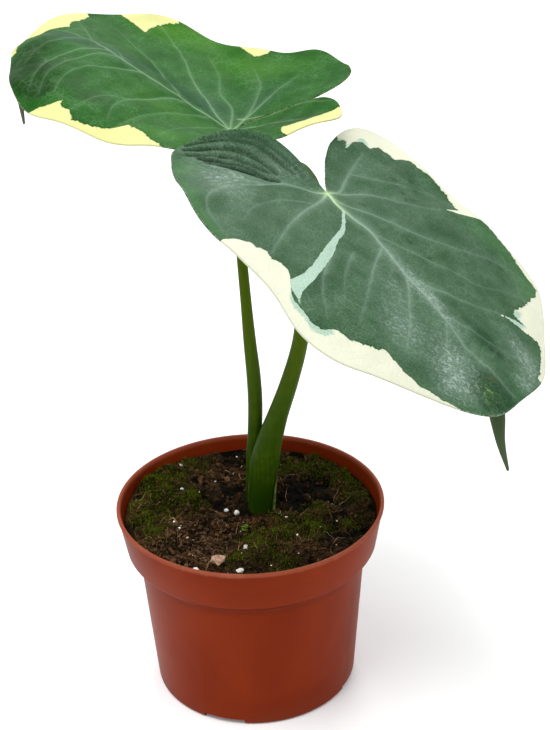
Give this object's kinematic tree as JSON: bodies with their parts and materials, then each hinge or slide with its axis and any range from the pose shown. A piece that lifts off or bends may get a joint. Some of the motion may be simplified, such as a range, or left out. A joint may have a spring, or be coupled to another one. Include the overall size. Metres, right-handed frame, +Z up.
{
  "type": "potted foliage plant",
  "caption": "Two-leaved aroid house plant with cream-edged arrow-shaped leaves on upright stalks, rooted in soil in a round nursery pot.",
  "frame": {"origin": "centre of the pot's underside, on the flat boss that the pot rests on", "axes": "+X to the viewer's right in the reference view, +Y away from the viewer, +Z up along the pot's axis"},
  "size_m": [0.2099, 0.2715, 0.2897],
  "materials": {
    "pot": "satin moulded plastic",
    "soil": "damp potting soil with moss",
    "stalk": "smooth waxy stalk",
    "front_blade": "satin leaf",
    "back_blade": "satin leaf"
  },
  "bodies": {
    "root": {"pot": "pot", "soil": "soil", "petiole_front": "stalk", "petiole_back": "stalk", "leaf_front": "front_blade", "leaf_back": "back_blade"}
  },
  "joints": []
}
